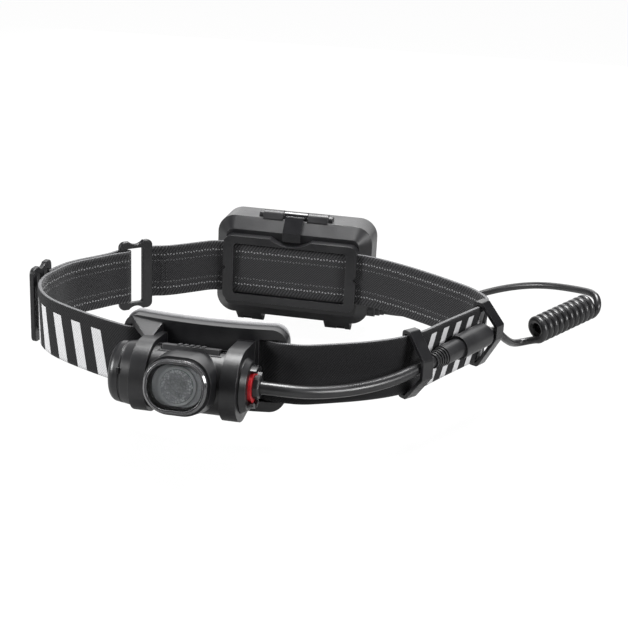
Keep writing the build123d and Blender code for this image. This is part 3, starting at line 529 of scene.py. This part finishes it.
def on_piece(tree):
    """Output with the place on a piece, in metres."""
    return put(tree, "ShaderNodeTexCoord").outputs["Object"]


def on_cloth(tree, map_name):
    """Outputs along and across a cloth piece's own map, in metres."""
    place = put(tree, "ShaderNodeUVMap", uv_map=map_name)
    parts = put(tree, "ShaderNodeSeparateXYZ", {0: place.outputs[0]})
    return parts.outputs[0], parts.outputs[1]


def sums(tree, operation, first, second=0.0, third=0.0):
    """Output of a Math node on up to three numbers or outputs."""
    return put(tree, "ShaderNodeMath", {0: first, 1: second, 2: third}, operation=operation).outputs[0]


def vectors(tree, operation, first, second=(0.0, 0.0, 0.0)):
    """Vector Math node on one or two vectors or outputs."""
    return put(tree, "ShaderNodeVectorMath", {0: first, 1: second}, operation=operation)


def noise(tree, where, scale, detail=3.0):
    """Output of a noise texture at a place."""
    return put(tree, "ShaderNodeTexNoise", {"Vector": where, "Scale": scale, "Detail": detail}).outputs[0]


def spread(tree, value, low, high, new_low, new_high):
    """A value's range moved to a new one, held at its ends."""
    inputs = {"Value": value, "From Min": low, "From Max": high, "To Min": new_low, "To Max": new_high}
    return put(tree, "ShaderNodeMapRange", inputs).outputs[0]


def shades(tree, factor, dark, light):
    """Colour between two others by a factor; each of them is a shade or another node's output."""
    inputs = {"Factor": factor}
    for socket, colour in (("A", dark), ("B", light)):
        inputs[socket] = (*colour, 1.0) if isinstance(colour, tuple) else colour
    return put(tree, "ShaderNodeMix", inputs, data_type="RGBA").outputs["Result"]


def eased(tree, rounding):
    """Normal that turns gently over every edge, as if the edge were rounded."""
    return put(tree, "ShaderNodeBevel", {"Radius": rounding}, samples=4).outputs[0]


def relief(tree, shader, height, strength, depth, rounding=0.0):
    """Bump from a height, over softly rounded edges where rounding is given."""
    inputs = {"Height": height, "Strength": strength, "Distance": depth}
    if rounding:
        inputs["Normal"] = eased(tree, rounding)
    feed(tree, shader, {"Normal": put(tree, "ShaderNodeBump", inputs).outputs[0]})


# %% [markdown]
# ### Moulded plastic and rubber
# A moulded part is never quite even. The tool leaves a fine grain, and handling leaves faint patches where it
# is smoother. Both come from noise: a fine one drives the bump, and a broad one shifts colour and roughness. A
# Bevel node rounds the edges in the shading, so each one catches a thin line of light. Its normal also tells
# where the edges are: there it differs from the face's own, and the colour is painted lighter, partly as
# rubbing from handling and partly as a painted highlight along the edge, which on the bezel is mostly painted
# highlight.

# %% Moulded finish
edge_alike, face_alike = 0.82, 0.985
# Grey painted on the edges: partly rubbing, partly a painted highlight.
rubbed_and_highlight_grey = (0.30, 0.30, 0.31)
coat_roughness = 0.12


def worn_and_highlit_edges(tree, colour, rounding, wear_and_highlight):
    """Colour painted lighter where a rounded edge turns away from the flat face beside it, as rubbing and as a
    painted highlight.
    """
    facing = put(tree, "ShaderNodeNewGeometry").outputs["Normal"]
    alike = vectors(tree, "DOT_PRODUCT", eased(tree, rounding), facing).outputs["Value"]
    return shades(tree, spread(tree, alike, edge_alike, face_alike, wear_and_highlight, 0.0), colour, rubbed_and_highlight_grey)


def moulded(
    name, dark, light, rough, grain=1500.0, depth=0.03, rounding=0.35, gloss=0.0, shine=0.5, wear_and_highlight=0.12
):
    """Plastic or rubber between two shades.

    The grain is counted to the metre, and depth and rounding are in millimetres. Gloss is the clear coat's
    weight, shine the strength of reflections, and the last number how far the edges are painted lighter, partly
    as rubbing and partly as a painted highlight.
    """
    material, tree, shader = blank(name)
    where = on_piece(tree)
    fine = noise(tree, where, grain, 2.0)
    broad = noise(tree, where, 70.0, 4.0)
    colour = shades(tree, spread(tree, broad, 0.35, 0.65, 0.0, 1.0), dark, light)
    # The edges are painted lighter here: partly rubbing from handling, partly a painted highlight.
    if rounding:
        colour = worn_and_highlit_edges(tree, colour, rounding * mm, wear_and_highlight)
    feed(tree, shader, {
        "Base Color": colour,
        "Roughness": spread(tree, broad, 0.3, 0.7, rough * 0.85, rough * 1.15),
        "Specular IOR Level": shine,
        "Coat Weight": gloss,
        "Coat Roughness": coat_roughness,
    })
    relief(tree, shader, fine, 0.6, depth * mm, rounding * mm)
    return material


def dress(material, *names):
    """Give a material to CAD nodes or pieces, in every slot."""
    for name in names:
        piece = node.get(name) or bpy.data.objects[name]
        if not piece.data.materials:
            piece.data.materials.append(material)
        for slot in piece.material_slots:
            slot.material = material
    print(material.name, "on", ", ".join(names))


# %% Black plastics
finish = moulded("housing_black", (0.005, 0.005, 0.006), (0.010, 0.010, 0.011), 0.32)
dress(finish, "front_housing", "rear_housing", "left_end_cap", "right_end_cap")
finish = moulded(
    "bracket_black", (0.005, 0.005, 0.006), (0.011, 0.011, 0.012), 0.36,
    grain=1900.0, depth=0.05,
)
dress(finish, "forehead_bracket", "strap_frame", "rear_ring", "strap_slider")
finish = moulded(
    "pack_black", (0.005, 0.005, 0.006), (0.010, 0.010, 0.011), 0.38,
    grain=1700.0, rounding=0.5,
)
dress(finish, "pack_case", "pack_cover", "cell_tray")
finish = moulded(
    "clip_black", (0.004, 0.004, 0.005), (0.009, 0.009, 0.010), 0.28,
    grain=1200.0, depth=0.015, rounding=0.45,
)
dress(finish, "front_cable_clip", "side_cable_clip")
finish = moulded(
    "polished_black", (0.004, 0.004, 0.005), (0.008, 0.008, 0.009), 0.2,
    grain=700.0, depth=0.004, rounding=0.3, gloss=0.25,
)
dress(finish, "pack_latch")
# The bezel's edges are painted much lighter: mostly a painted highlight of its polished rings, a little rubbing.
finish = moulded(
    "bezel_black", (0.030, 0.030, 0.032), (0.045, 0.045, 0.047), 0.14,
    grain=700.0, depth=0.003, rounding=0.4, gloss=0.8, shine=0.9, wear_and_highlight=0.9,
)
dress(finish, "front_bezel")
finish = moulded("switch_black", (0.02, 0.02, 0.02), (0.03, 0.03, 0.03), 0.5)
dress(finish, "button_switch")

# %% Rubber and cell sleeves
finish = moulded(
    "button_rubber", (0.016, 0.016, 0.017), (0.030, 0.030, 0.032), 0.5,
    grain=2200.0, rounding=0.2,
)
dress(finish, "power_button")
finish = moulded(
    "seal_rubber", (0.008, 0.008, 0.008), (0.016, 0.016, 0.016), 0.55,
    grain=1800.0, depth=0.02, rounding=0.2,
)
dress(finish, "lens_gasket", "pack_seal", "left_tilt_washer", "right_tilt_washer")
finish = moulded("gland_rubber", (0.008, 0.008, 0.009), (0.018, 0.018, 0.019), 0.38, depth=0.02, rounding=0.4)
dress(finish, "cable_gland", "pack_gland", "cable_plug", "cable_socket")
finish = moulded(
    "cable_rubber", (0.012, 0.012, 0.013), (0.022, 0.022, 0.023), 0.32,
    grain=900.0, depth=0.012, rounding=0.0,
)
dress(finish, "lamp_lead", "pack_lead")
finish = moulded("red_seal", (0.36, 0.005, 0.010), (0.50, 0.008, 0.014), 0.38, depth=0.02, rounding=0.2)
dress(finish, "cable_seal")
finish = moulded(
    "cell_sleeve", (0.13, 0.14, 0.16), (0.20, 0.21, 0.23), 0.25,
    grain=500.0, depth=0.005, rounding=0.2, gloss=0.4,
)
dress(finish, "battery_cells")


# %% [markdown]
# ### Metal, circuit board and light source
# These sit inside the lamp and the pack, and most show only with a lid open, but they are finished too. The
# metals carry a fine brushed or blasted grain, and the boards show tracks under green lacquer as a soft-edged
# Voronoi pattern.

# %% Inner finishes
def metal(name, colour, rough, stretch):
    """Metal whose grain is drawn out along X by a factor."""
    material, tree, shader = blank(name)
    drawn = put(tree, "ShaderNodeMapping", {"Vector": on_piece(tree), "Scale": (1.0 / stretch, 1.0, 1.0)})
    grain = noise(tree, drawn.outputs[0], 2600.0, 2.0)
    darker = tuple(value * 0.8 for value in colour)
    feed(tree, shader, {
        "Base Color": shades(tree, grain, darker, colour),
        "Roughness": spread(tree, grain, 0.3, 0.7, rough * 0.8, rough * 1.2),
        "Metallic": 1.0,
    })
    relief(tree, shader, grain, 0.4, 0.01 * mm, 0.1 * mm)
    return material


dress(metal("blasted_aluminium", (0.62, 0.63, 0.64), 0.5, 1.0), "heat_sink")
dress(metal("plain_steel", (0.50, 0.50, 0.51), 0.3, 12.0), "cap_screws", "latch_pin", "cover_hinge_pins")
dress(metal("plated_brass", (0.74, 0.60, 0.32), 0.25, 6.0), "cell_contacts")

board, tree, shader = blank("circuit_board")
cells = {"Vector": on_piece(tree), "Scale": 700.0}
gaps = put(tree, "ShaderNodeTexVoronoi", cells, feature="DISTANCE_TO_EDGE").outputs["Distance"]
track = spread(tree, gaps, 0.05, 0.12, 1.0, 0.0)
lacquer = shades(tree, track, (0.008, 0.045, 0.022), (0.02, 0.10, 0.05))
feed(tree, shader, {"Base Color": lacquer, "Roughness": 0.3})
relief(tree, shader, track, 0.5, 0.03 * mm)
dress(board, "led_board", "driver_board", "pack_board")

phosphor, tree, shader = blank("led_phosphor")
speckle = noise(tree, on_piece(tree), 3000.0, 2.0)
amber = shades(tree, speckle, (0.55, 0.42, 0.08), (0.75, 0.62, 0.16))
feed(tree, shader, {"Base Color": amber, "Roughness": 0.35})
relief(tree, shader, speckle, 0.3, 0.02 * mm)
dress(phosphor, "led_emitter")


# %% [markdown]
# ### Lens and optic
# The window is a flat clear plate, so it needs only transmission and a very smooth surface. The optic behind it
# is a moulded cone with a pebbled front that spreads the beam. Its pebbles are a Voronoi bump, which bends the
# light enough to hide the light source, as on the real lamp. The colour also carries painted light: each pebble
# has a painted glint, and away from the middle, where the cone throws more light back, a painted bright ring
# makes the pebbles lighter by their distance from the axis the lamp shines along.

# %% Clear finishes
acrylic_ior = 1.49
clear, tree, shader = blank("clear_window")
haze = noise(tree, on_piece(tree), 120.0, 3.0)
feed(tree, shader, {
    "Base Color": (0.93, 0.95, 0.96, 1.0),
    "Roughness": spread(tree, haze, 0.3, 0.7, 0.01, 0.05),
    "Transmission Weight": 1.0,
    "IOR": acrylic_ior,
})
dress(clear, "front_lens")

# %% Pebbled optic
lamp_y = -80.0
lamp_middle = (lamp_x * mm, lamp_y * mm, 0.0)
lamp_lean = math.radians(14.0)
shining = (0.0, -math.cos(lamp_lean), math.sin(lamp_lean))
dim_radius, bright_radius = 3.2 * mm, 5.4 * mm
pebbled, tree, shader = blank("pebbled_optic")
where = on_piece(tree)
offset = vectors(tree, "SUBTRACT", where, lamp_middle).outputs[0]
around = vectors(tree, "CROSS_PRODUCT", offset, shining).outputs[0]
from_axis = vectors(tree, "LENGTH", around).outputs["Value"]
pebbles = put(tree, "ShaderNodeTexVoronoi", {"Vector": where, "Scale": 1100.0}).outputs["Distance"]
# Painted light: a painted bright ring away from the axis and a painted glint on each pebble, both in the colour.
bright_ring = spread(tree, from_axis, dim_radius, bright_radius, 0.15, 0.9)
sparkle = sums(tree, "MULTIPLY", spread(tree, pebbles, 0.1, 0.6, 1.0, 0.2), bright_ring)
feed(tree, shader, {
    "Base Color": shades(tree, sparkle, (0.30, 0.30, 0.305), (0.92, 0.93, 0.94)),
    "Roughness": 0.14,
    "Transmission Weight": 0.25,
    "IOR": acrylic_ior,
})
relief(tree, shader, pebbles, 0.8, 0.25 * mm)
dress(pebbled, "beam_optic")
finish = moulded(
    "holder_grey", (0.42, 0.42, 0.425), (0.52, 0.52, 0.525), 0.22,
    grain=900.0, depth=0.01, rounding=0.3, gloss=0.3,
)
dress(finish, "optic_holder")


# %% [markdown]
# ### Webbing finishes
# The outer face is a fine black rib with a pale print, the inner face a dark grey twill with rope-like edges and
# lighter sewn lines near them, and the rim shows the cut ends of the yarn. All three read the band's own UV map,
# whose numbers are metres along and across the band. The print is a plain pattern of slanted bars, cut off by
# the lower edge, on the left of the lamp and again past the front clip.

# %% Webbing helpers
def band_distance(x, y):
    """Distance along the band of its place nearest to a plan point in millimetres."""
    target = Vector((x * mm, y * mm, 0.0))
    passed, best, found = 0.0, 1.0, 0.0
    for before, after in zip(band_line, band_line[1:]):
        gap = (before - target).length
        if gap < best:
            best, found = gap, passed
        passed += (after - before).length
    return found


def wave(tree, value, period):
    """Sine of a value with a period in metres."""
    return sums(tree, "SINE", sums(tree, "MULTIPLY", value, 2 * math.pi / period))


def between(tree, value, low, high):
    """One where a value lies between two limits, nothing elsewhere."""
    above = sums(tree, "GREATER_THAN", value, low)
    below = sums(tree, "LESS_THAN", value, high)
    return sums(tree, "MULTIPLY", above, below)


def bars(tree, along, across, span, period, width, slant, top):
    """Slanted bars between two distances along the band, from its lower edge up to a height."""
    leaning = sums(tree, "MULTIPLY_ADD", across, slant, along)
    share = sums(tree, "FRACT", sums(tree, "DIVIDE", sums(tree, "SUBTRACT", leaning, span[0]), period))
    marked = sums(tree, "LESS_THAN", share, width / period)
    inside = between(tree, along, *span)
    level = between(tree, across, -strap_width, top)
    return sums(tree, "MULTIPLY", sums(tree, "MULTIPLY", marked, inside), level)


left_print = (band_distance(-96.3, -15.0), band_distance(-49.0, -61.0))
right_print = (band_distance(74.5, -31.0), band_distance(97.0, 14.0))
print("print on the band at", [round(value, 3) for value in left_print + right_print])

# %% Outer face
outer_web, tree, shader = blank("webbing_outer")
along, across = on_cloth(tree, "band")
rib = wave(tree, sums(tree, "MULTIPLY_ADD", across, -0.8, along), 1.1 * mm)
left_bars = bars(tree, along, across, left_print, 12.0 * mm, 5.4 * mm, slant=0.2, top=7.5 * mm)
right_bars = bars(tree, along, across, right_print, 9.5 * mm, 4.0 * mm, slant=-0.45, top=10.0 * mm)
marks = sums(tree, "MAXIMUM", left_bars, right_bars)
fleck = noise(tree, on_piece(tree), 1400.0, 2.0)
ribbed = spread(tree, sums(tree, "ADD", rib, fleck), -0.4, 1.4, 0.0, 1.0)
yarn = shades(tree, ribbed, (0.005, 0.005, 0.006), (0.014, 0.014, 0.015))
ink = shades(tree, fleck, (0.54, 0.54, 0.55), (0.64, 0.64, 0.65))
feed(tree, shader, {
    "Base Color": shades(tree, marks, yarn, ink),
    "Roughness": 0.85,
    "Sheen Weight": 0.08,
    "Specular IOR Level": 0.25,
})
relief(tree, shader, rib, 0.5, 0.12 * mm)

# %% Inner face
rope_from = 9.4 * mm
bold_seam, faint_seam = (8.0 * mm, 8.6 * mm), (5.1 * mm, 5.6 * mm)
groove_between = (6.3 * mm, 7.6 * mm)
inner_web, tree, shader = blank("webbing_inner")
along, across = on_cloth(tree, "band")
height = sums(tree, "ABSOLUTE", across)
edge = sums(tree, "GREATER_THAN", height, rope_from)
twill = wave(tree, sums(tree, "ADD", along, across), 1.2 * mm)
rope = wave(tree, sums(tree, "MULTIPLY_ADD", across, 0.7, along), 1.6 * mm)
ridges = {"Factor": edge, "A": twill, "B": rope}
ridge = put(tree, "ShaderNodeMix", ridges, data_type="FLOAT").outputs["Result"]
light_yarn = spread(tree, ridge, -1.0, 1.0, 0.0, 1.0)
yarn = shades(tree, light_yarn, (0.004, 0.004, 0.005), (0.036, 0.036, 0.038))
uneven = noise(tree, on_piece(tree), 900.0, 2.0)
dashes = sums(tree, "GREATER_THAN", sums(tree, "ADD", wave(tree, along, 1.5 * mm), uneven), 0.55)
wandering = sums(tree, "MULTIPLY_ADD", wave(tree, along, 2.2 * mm), 0.22 * mm, height)
bold = sums(tree, "MULTIPLY", between(tree, wandering, *bold_seam), 0.75)
seams = sums(tree, "MULTIPLY_ADD", between(tree, wandering, *faint_seam), 0.3, bold)
thread = sums(tree, "MULTIPLY", dashes, seams)
feed(tree, shader, {
    "Base Color": shades(tree, thread, yarn, (0.34, 0.34, 0.35)),
    "Roughness": 0.8,
    "Sheen Weight": 0.15,
    "Specular IOR Level": 0.3,
})
raised = sums(tree, "MULTIPLY_ADD", edge, 2.0, ridge)
groove = sums(tree, "MULTIPLY", between(tree, height, *groove_between), 2.0)
relief(tree, shader, sums(tree, "SUBTRACT", raised, groove), 0.8, 0.12 * mm)

# %% Rim of the band
rim_web, tree, shader = blank("webbing_rim")
along, across = on_cloth(tree, "band")
yarn_end = spread(tree, wave(tree, along, 0.8 * mm), -1.0, 1.0, 0.0, 1.0)
yarn = shades(tree, yarn_end, (0.05, 0.05, 0.052), (0.16, 0.16, 0.165))
feed(tree, shader, {"Base Color": yarn, "Roughness": 0.8})
relief(tree, shader, yarn_end, 0.5, 0.1 * mm)
for face_cloth in (outer_web, inner_web, rim_web):
    band_mesh.materials.append(face_cloth)
print("band finishes:", [face_cloth.name for face_cloth in band_mesh.materials])


# %% [markdown]
# ### Pad cloth and thread
# The pad's cover is a brushed grey fabric on foam: soft, with no gloss, a fine fleck and a faint knit. The
# thread of the stitches is a dull dark grey, a shade lighter than the webbing it holds.

# %% Pad cloth
pad_cloth, tree, shader = blank("pad_cloth")
along, up = on_cloth(tree, "pad")
knit = sums(tree, "MULTIPLY", wave(tree, along, 0.9 * mm), wave(tree, up, 0.9 * mm))
fleck = noise(tree, on_piece(tree), 1600.0, 3.0)
felt = shades(tree, fleck, (0.13, 0.13, 0.135), (0.23, 0.23, 0.235))
feed(tree, shader, {"Base Color": felt, "Roughness": 0.9, "Sheen Weight": 0.25})
relief(tree, shader, knit, 0.5, 0.1 * mm)
dress(pad_cloth, "forehead_cushion")

# %% Thread
finish = moulded("thread_grey", (0.020, 0.020, 0.021), (0.040, 0.040, 0.041), 0.6, grain=3000.0)
dress(finish, "tail_stitches", "ring_stitches")


# %% [markdown]
# ## Stage
# A wide floor runs out to a plain world with no horizon in sight. Both look white to the camera, but they light
# the lamp only dimly, because black plastic in front of a bright surround turns grey. Four soft boxes light it
# instead: one overhead, one in front on each side, and a broad weak one behind, which draw the long highlights
# that black plastic needs to show its shape.

# %% Floor
floor_reach = 6.0
floor_gap = 0.5 * mm
floor_glow, floor_white = 1.1, 0.88
bpy.context.view_layer.update()
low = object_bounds()[0]
floor_mesh = bpy.data.meshes.new("floor")
floor = bpy.data.objects.new("floor", floor_mesh)
scene.collection.objects.link(floor)
shape = bmesh.new()
bmesh.ops.create_grid(shape, x_segments=1, y_segments=1, size=floor_reach)
bmesh.ops.translate(shape, verts=shape.verts, vec=(0.0, 0.0, low.z - floor_gap))
shape.to_mesh(floor_mesh)
shape.free()
floor_paint, tree, shader = blank("floor_paint")
feed(tree, shader, {"Base Color": (0.32, 0.32, 0.32, 1.0), "Roughness": 0.9, "Specular IOR Level": 0.1})
glow = put(tree, "ShaderNodeEmission", {"Strength": floor_glow}).outputs[0]
seen = put(tree, "ShaderNodeLightPath").outputs["Is Camera Ray"]
share = sums(tree, "MULTIPLY", seen, floor_white)
blend = put(tree, "ShaderNodeMixShader", {0: share, 1: shader.outputs[0], 2: glow}).outputs[0]
feed(tree, tree.nodes["Material Output"], {"Surface": blend})
floor_mesh.materials.append(floor_paint)
print("floor at", round(low.z - floor_gap, 4))

# %% World and soft boxes
world_dim, world_white = 0.13, 1.05
world = bpy.data.worlds.new("studio")
scene.world = world
world.use_nodes = True
tree = world.node_tree
seen = put(tree, "ShaderNodeLightPath").outputs["Is Camera Ray"]
strength = spread(tree, seen, 0.0, 1.0, world_dim, world_white)
feed(tree, tree.nodes["Background"], {"Color": (1.0, 1.0, 1.0, 1.0), "Strength": strength})
scene.view_settings.view_transform = "Standard"


def softbox(name, place, aim, size, power):
    """Square area lamp at a place, turned to a point."""
    data = bpy.data.lights.new(name, "AREA")
    data.size = size
    data.energy = power
    lamp = bpy.data.objects.new(name, data)
    scene.collection.objects.link(lamp)
    lamp.location = place
    lamp.rotation_mode = "QUATERNION"
    lamp.rotation_quaternion = (Vector(aim) - Vector(place)).to_track_quat("-Z", "Y")
    print(name, "at", place, "with", power, "watts")


softbox("overhead", (0.0, 0.2, 0.8), aim=(0.0, 0.0, 0.0), size=0.4, power=15.0)
softbox("left_front", (-0.75, -0.45, 0.35), aim=(0.0, -0.05, 0.0), size=0.3, power=8.5)
softbox("right_front", (0.75, -0.35, 0.35), aim=(0.05, -0.05, 0.0), size=0.3, power=5.5)
softbox("back", (-0.05, 0.9, 0.36), aim=(0.0, 0.0, 0.0), size=0.9, power=4.5)


# %% [markdown]
# ## Size
# The finished model must be the CAD frame's size, give or take what cloth may stand proud.

# %% Bring the scene up to date
bpy.context.view_layer.update()
